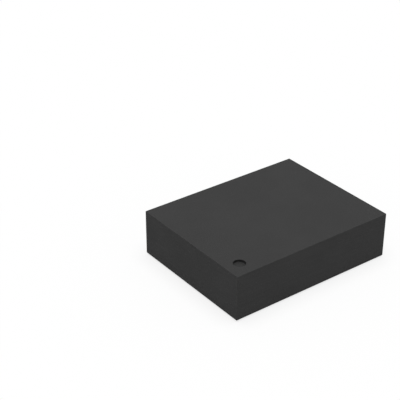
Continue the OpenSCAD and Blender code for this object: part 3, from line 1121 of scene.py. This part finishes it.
for pin in (1, 2, 3, 4):
    form = cad_copy(f"terminal_{pin}")
    bmesh.ops.dissolve_limit(form, angle_limit=FLAT_WITHIN, verts=form.verts, edges=form.edges)
    edges = list(form.edges)
    bmesh.ops.bevel(form, geom=edges, offset=ETCH_ROUND, segments=ETCH_STEPS, profile=ROUND, affect="EDGES")
    name = f"plated_terminal_{pin}"
    add_piece(name, as_mesh(form, name), plated, f"terminal_{pin}", keep_flats=True)

# %% [markdown]
# ## Geometry Nodes: what they need here
#
# The bond wires follow a path and the ring follows a rule, so both are made by Geometry
# Nodes. Each tree has named inputs for its sizes, and ends by turning instances into real
# faces and giving them their material. A modifier's input is set by its socket's identifier,
# not by the name that the panel shows. The result is then read back as a plain mesh and the
# modifier goes, so that nothing live is left on the finished piece.

# %% Write the Geometry Nodes helpers
def half_of(tree, value):
    """Half of a number."""
    return calc(tree, "MULTIPLY", value, 0.5)


def end_tree(tree, geometry, material, output):
    """Ends a tree with real faces in their material."""
    real = step(tree, "GeometryNodeRealizeInstances", {"Geometry": geometry})
    fill(tree, output, step(tree, "GeometryNodeSetMaterial", {"Geometry": real, "Material": material}))
    print(f"tree {tree.name}: {len(tree.nodes)} nodes")
    return tree


def grow(tree, values, place=Vector(), source=None):
    """Runs a tree on a mesh, or on an empty one, and returns the plain mesh, moved to its place."""
    sockets = {item.name: item.identifier for item in tree.interface.items_tree if item.in_out == "INPUT"}
    inputs = {sockets[label]: value for label, value in values.items()}
    mesh = run_modifier(source or bpy.data.meshes.new("seed"), "NODES", inputs, node_group=tree)
    for vertex in mesh.vertices:
        vertex.co += place
    return mesh


print("tree helpers:", *(helper.__name__ for helper in (half_of, end_tree, grow)))

# %% [markdown]
# ## The bond wires
#
# A bonding machine melts the end of a gold wire into a ball, presses it on a pad, lifts the
# wire in a loop, and squashes its other end flat on a land or on the other chip. Ball, wire
# and this stitch could be three meshes pushed into each other. But the metal is one piece, so
# one path runs through all of it, and only its width and height change on the way.
#
# The path is a polyline whose points carry three attributes: how much of the ball's width
# they have, how much of the wire's, and how flat they are. The tree turns the polyline into
# a curve, sweeps a circle along it, and then squeezes each ring towards the path's own
# height. The circle is a hair narrower than it is high, which keeps it inside the
# eight-sided channel that the CAD left for the wire.

# %% Build the wire tree
CAD_SIDES = 8
CHANNEL_SHARE = math.cos(math.pi / CAD_SIDES)

tree, given, gives = new_group(
    "bond_wire",
    "GeometryNodeTree",
    [
        ("Path", "Geometry"),
        ("Wire Diameter", "Float", 0.02),
        ("Ball Diameter", "Float", 0.05),
        ("Sides", "Int", 16),
        ("Gold", "Material"),
    ],
    [("Wire", "Geometry")],
)


def stored(tree, name, kind="FLOAT"):
    """Reads an attribute that the path's points carry."""
    return step(tree, "GeometryNodeInputNamedAttribute", {"Name": name}, data_type=kind)


ball_part = calc(tree, "MULTIPLY", stored(tree, "ball_share"), given["Ball Diameter"])
wire_part = calc(tree, "MULTIPLY", stored(tree, "wire_share"), given["Wire Diameter"])
radius = half_of(tree, calc(tree, "ADD", ball_part, wire_part))
curve = step(tree, "GeometryNodeMeshToCurve", {"Mesh": given["Path"]})
curve = step(tree, "GeometryNodeSetCurveNormal", {"Curve": curve})
curve = step(
    tree,
    "GeometryNodeStoreNamedAttribute",
    {"Geometry": curve, "Name": "path_place", "Value": step(tree, "GeometryNodeInputPosition")},
    data_type="FLOAT_VECTOR",
    domain="POINT",
)
circle = step(tree, "GeometryNodeCurvePrimitiveCircle", {"Resolution": given["Sides"], "Radius": 1.0})
sweep = {"Curve": curve, "Profile Curve": circle, "Scale": radius, "Fill Caps": True}
swept = step(tree, "GeometryNodeCurveToMesh", sweep)
here = step(tree, "GeometryNodeInputPosition")
from_path = vector_calc(tree, "SUBTRACT", here, stored(tree, "path_place", "FLOAT_VECTOR"))
narrower = CHANNEL_SHARE - 1.0
flatter = calc(tree, "SUBTRACT", stored(tree, "flatness"), 1.0)
squeeze = vector_calc(tree, "MULTIPLY", from_path, point(tree, narrower, narrower, flatter))
squeezed = step(tree, "GeometryNodeSetPosition", {"Geometry": swept, "Offset": squeeze})
wire_tree = end_tree(tree, squeezed, given["Gold"], gives["Wire"])

# %% [markdown]
# ## The path of a wire
#
# The path repeats the CAD's rule: up through the ball, over a loop that leaves it upright and
# peaks near the chip's edge, then down to the stitch, which ends as a thin wedge. A real
# loop has kinks where the machine's tool turned back. One cubic curve passes close to all of
# them and stays smooth, and the last part of the wire lies flat.
#
# Two knees pull a cubic curve up, and it reaches three quarters of their height. So dividing
# the loop's height by that share gives the height of the knees.

# %% Draw a wire's path
WIRE = 0.02
BALL = 0.05
BALL_HEIGHT = 0.012
STITCH = 0.03
KNEE = 0.4
KNEE_REACHED = 0.75
LOOP_STEPS = 28
# A row of the ball is a share of its height and a share of its width.
BALL_ROWS = ((0.0, 0.8), (0.12, 0.9), (0.28, 0.98), (0.45, 1.0), (0.65, 0.96), (0.85, 0.84), (1.0, 0.66))
# A row of the stitch is how much of it is left, and the width and height of the wire there.
STITCH_ROWS = ((1.0, 1.2, 0.5), (0.5, 1.35, 0.38), (0.0, 1.5, 0.25))


def cubic(along, begin, rising, falling, end):
    """The point at a share along a cubic curve, which leaves for one knee and arrives from another."""
    left = 1 - along
    up = left**3 * begin + 3 * along * left * left * rising
    return up + 3 * along * along * left * falling + along**3 * end


def wire_path(start, finish, rise):
    """A row for each point of the path: its place, its shares of ball and wire, its flatness."""
    run = Vector((finish.x - start.x, finish.y - start.y, 0))
    way, span, up = run.normalized(), run.length, Vector((0, 0, 1))
    radius, knee = WIRE / 2, rise / KNEE_REACHED
    rows = [(start + up * share * BALL_HEIGHT, width, 0.0, 1.0) for share, width in BALL_ROWS]
    begin = start + up * (BALL_HEIGHT + radius)
    rising = start + up * knee
    falling = start + way * span * KNEE + up * knee
    end = start + way * (span - STITCH)
    end.z = finish.z + STITCH_ROWS[0][2] * radius
    for number in range(LOOP_STEPS):
        rows.append((cubic(number / LOOP_STEPS, begin, rising, falling, end), 0.0, 1.0, 1.0))
    for left, wide, high in STITCH_ROWS:
        rows.append((finish - way * left * STITCH + up * high * radius, 0.0, wide, high / wide))
    return rows


print("points in a path:", len(BALL_ROWS) + LOOP_STEPS + len(STITCH_ROWS))

# %% [markdown]
# ## A polyline that carries its widths
#
# A node tree can't read a list of rows. But it can read a mesh, even one that has no faces, so
# the rows become a chain of points and edges, and the three shares ride on the points as
# attributes.

# %% Turn a path into a polyline
def path_mesh(rows):
    """A polyline with those points, and the shares as attributes of its points."""
    mesh = bpy.data.meshes.new("path")
    links = [(number, number + 1) for number in range(len(rows) - 1)]
    mesh.from_pydata([row[0] for row in rows], links, [])
    for column, name in ((1, "ball_share"), (2, "wire_share"), (3, "flatness")):
        attribute = mesh.attributes.new(name, "FLOAT", "POINT")
        attribute.data.foreach_set("value", [row[column] for row in rows])
    return mesh


print("polyline helper:", path_mesh.__name__)

# %% [markdown]
# ## Where the ten wires run
#
# Six wires run from the chip's corner pads to the lands: two for ground, two for the supply,
# and one each for the enable input and the output. Four short ones join the two chips. The
# four lands mirror each other, so a wire's ends are worked out for one corner and then
# multiplied by the signs of its own.

# %% Route the ten wires
PIN_CORNER = ((-1, -1), (1, -1), (1, 1), (-1, 1))
PAD_EDGE = 0.06
PAD_PITCH = 0.11
STITCH_FROM_END = 0.34
STITCH_FROM_SIDE = 0.30
LONG_RISE = 0.13
SHORT_RISE = 0.07
SHELF_WIRES = 4
SHELF_PITCH = 0.1
SHELF = 0.11
LANDING = 0.13
LAND_SIZE = (0.9, 0.82)
# Each wire has its pin, and its number among the pads of that corner.
LAND_WIRES = {
    "enable_wire": (1, 0), "ground_wire_1": (2, 0), "ground_wire_2": (2, 1),
    "output_wire": (3, 0), "supply_wire_1": (4, 0), "supply_wire_2": (4, 1),
}

routes = {}
for name, (pin, place) in LAND_WIRES.items():
    x, y = PIN_CORNER[pin - 1]
    pad = (chip_high.x - PAD_EDGE - place * PAD_PITCH, chip_high.y - PAD_EDGE)
    stitch = (
        land_high.x - LAND_SIZE[0] + STITCH_FROM_END - place * PAD_PITCH,
        land_high.y - LAND_SIZE[1] + STITCH_FROM_SIDE,
    )
    start = Vector((pad[0] * x, pad[1] * y, chip_high.z))
    finish = Vector((stitch[0] * x, stitch[1] * y, land_high.z))
    routes[name] = (start, finish, LONG_RISE)
for number in range(1, SHELF_WIRES + 1):
    y = (number - (SHELF_WIRES + 1) / 2) * SHELF_PITCH
    start = Vector((base_high.x - SHELF / 2, y, base_high.z))
    finish = Vector((base_high.x + LANDING, y, chip_high.z))
    routes[f"resonator_wire_{number}"] = (start, finish, SHORT_RISE)
print("wires routed:", len(routes))

# %% [markdown]
# ## Ten wires from one tree
#
# Every wire goes through the same tree with its own path. Each is a piece of its own, as it
# is in the CAD. Sixteen sides look round at this width, where the CAD makes do with eight.

# %% Sweep the ten wires
WIRE_SIDES = 16

for name, route in routes.items():
    sizes = {"Wire Diameter": WIRE, "Ball Diameter": BALL, "Sides": WIRE_SIDES, "Gold": gold}
    mesh = grow(wire_tree, sizes, source=path_mesh(wire_path(*route)))
    add_piece(name.replace("wire", "bond"), mesh, gold, name)

# %% [markdown]
# ## The ring
#
# The ring is the heart of the part. It hangs in a vacuum on four spokes from a hub, and it
# swells and shrinks thousands of times in a millisecond. Ring, hub and spokes are cut
# straight down from one layer of silicon, so each is a flat outline pulled up to a height.
#
# Typing in the outline would take a few hundred points. The trees work from the rule instead,
# and the ring and its electrodes share the main step of it: an upright wall along a circle or
# an arc.

# %% Write the sweep helpers
def move(tree, geometry, offset):
    """Moves geometry by a vector."""
    return step(tree, "GeometryNodeTransform", {"Geometry": geometry, "Translation": offset})


def sweep_wall(tree, path, width, height, caps):
    """Sweeps an upright rectangle along a path, with or without a face at each end."""
    section = step(tree, "GeometryNodeCurvePrimitiveQuadrilateral", {"Width": width, "Height": height})
    return step(tree, "GeometryNodeCurveToMesh", {"Curve": path, "Profile Curve": section, "Fill Caps": caps})


print("sweep helpers:", move.__name__, sweep_wall.__name__)

# %% [markdown]
# ## The ring, its hub and its spokes
#
# The tree sweeps a small rectangle round a circle, puts an instance of a spoke on each of four
# points and turns it a quarter further each time, and adds the hub. A Boolean then melts them
# into one skin, because pieces that only overlap would leave faces inside each other. Where
# two of them share a point to the last digit, it leaves faces with no width, and a weld of a
# tenth of a micron closes those.

# %% Build the ring tree
WELD = 0.0001
HUB_SIDES = 64

tree, given, gives = new_group(
    "ring_resonator",
    "GeometryNodeTree",
    [
        ("Outer Diameter", "Float", 0.26),
        ("Ring Width", "Float", 0.022),
        ("Layer", "Float", 0.016),
        ("Lift", "Float", 0.004),
        ("Hub Diameter", "Float", 0.05),
        ("Spoke Width", "Float", 0.008),
        ("Spokes", "Int", 4),
        ("Steps", "Int", 144),
        ("Silicon", "Material"),
    ],
    [("Ring", "Geometry")],
)
middle = calc(tree, "SUBTRACT", half_of(tree, given["Outer Diameter"]), half_of(tree, given["Ring Width"]))
at_layer = point(tree, z=calc(tree, "ADD", given["Lift"], half_of(tree, given["Layer"])))
circle = step(tree, "GeometryNodeCurvePrimitiveCircle", {"Resolution": given["Steps"], "Radius": middle})
ring = move(tree, sweep_wall(tree, circle, given["Ring Width"], given["Layer"], caps=False), at_layer)

top = calc(tree, "ADD", given["Lift"], given["Layer"])
hub = {"Vertices": HUB_SIDES, "Radius": half_of(tree, given["Hub Diameter"]), "Depth": top}
hub = move(tree, step(tree, "GeometryNodeMeshCylinder", hub), point(tree, z=half_of(tree, top)))

spoke_size = point(tree, middle, given["Spoke Width"], given["Layer"])
spoke = step(tree, "GeometryNodeMeshCube", {"Size": spoke_size})
spoke = move(tree, spoke, point(tree, x=half_of(tree, middle)))
stack = {"Count": given["Spokes"], "Start Location": at_layer, "Offset": (0, 0, 0)}
points = step(tree, "GeometryNodeMeshLine", stack)
part_turn = calc(tree, "DIVIDE", math.tau, given["Spokes"])
turned = point(tree, z=calc(tree, "MULTIPLY", step(tree, "GeometryNodeInputIndex"), part_turn))
spokes = {"Points": points, "Instance": spoke, "Rotation": turned}
spokes = step(tree, "GeometryNodeInstanceOnPoints", spokes)
spokes = step(tree, "GeometryNodeRealizeInstances", {"Geometry": spokes})

melted = add(tree, "GeometryNodeMeshBoolean", operation="UNION", solver="EXACT")
for part in (ring, hub, spokes):
    tree.links.new(part, melted.inputs["Mesh 2"])
weld = {"Geometry": melted.outputs["Mesh"], "Distance": WELD}
welded = step(tree, "GeometryNodeMergeByDistance", weld)
ring_tree = end_tree(tree, welded, given["Silicon"], gives["Ring"])

# %% [markdown]
# ## The electrodes
#
# Four curved walls stand round the ring, a few microns off. Some push it with an electric
# field, and the others listen to it. Each is a rectangle swept along an arc, and all four
# are one tree with another turn, so that they can't differ by mistake.

# %% Build the electrode tree
tree, given, gives = new_group(
    "electrode",
    "GeometryNodeTree",
    [
        ("Inner Radius", "Float", 0.134),
        ("Wall", "Float", 0.024),
        ("Height", "Float", 0.02),
        ("Span", "Float", 1.0),
        ("Turn", "Float", 0.0),
        ("Steps", "Int", 40),
        ("Silicon", "Material"),
    ],
    [("Electrode", "Geometry")],
)
middle = calc(tree, "ADD", half_of(tree, given["Wall"]), given["Inner Radius"])
first = calc(tree, "SUBTRACT", given["Turn"], half_of(tree, given["Span"]))
arc = {"Resolution": given["Steps"], "Radius": middle, "Start Angle": first, "Sweep Angle": given["Span"]}
arc = step(tree, "GeometryNodeCurveArc", arc)
wall = sweep_wall(tree, arc, given["Wall"], given["Height"], caps=True)
wall = move(tree, wall, point(tree, z=half_of(tree, given["Height"])))
electrode_tree = end_tree(tree, wall, given["Silicon"], gives["Electrode"])

# %% [markdown]
# ## The ring in its place
#
# The trees work round their own middle, with the silicon's top at zero. The ring stands in
# the middle of the seal, so that is where both are grown: the mesh is moved, and the object
# stays at the origin.

# %% Grow the ring and the electrodes
ELECTRODE_SPAN = 64
ring_place = Vector(((seal_low.x + seal_high.x) / 2, 0, base_top))

mesh = grow(ring_tree, {"Silicon": etched_silicon}, ring_place)
add_piece("ring_and_spokes", mesh, etched_silicon, "resonator_ring")
for number in (1, 2, 3, 4):
    sizes = {
        "Turn": math.radians(90 * (number - 1)),
        "Span": math.radians(ELECTRODE_SPAN),
        "Silicon": etched_silicon,
    }
    mesh = grow(electrode_tree, sizes, ring_place)
    add_piece(f"electrode_wall_{number}", mesh, etched_silicon, f"electrode_{number}")

# %% [markdown]
# ## The pieces whose CAD shape is right
#
# The chips, their films, the seal and the cap are flat-sided blocks with crisp sawn edges,
# which is just what the CAD has. A new mesh would only be a copy, so they stay as they are
# and take their finish through their material slots.

# %% Dress the CAD nodes that stay
STAYS = {
    "chip_film": film,
    "resonator_film": film,
    "oscillator_chip": oscillator_silicon,
    "resonator_base": resonator_silicon,
    "resonator_cap": cap_silicon,
    "seal_ring": frit_glass,
}
for name, material in STAYS.items():
    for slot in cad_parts[name].material_slots:
        slot.material = material
    print(name, "takes", material.name)
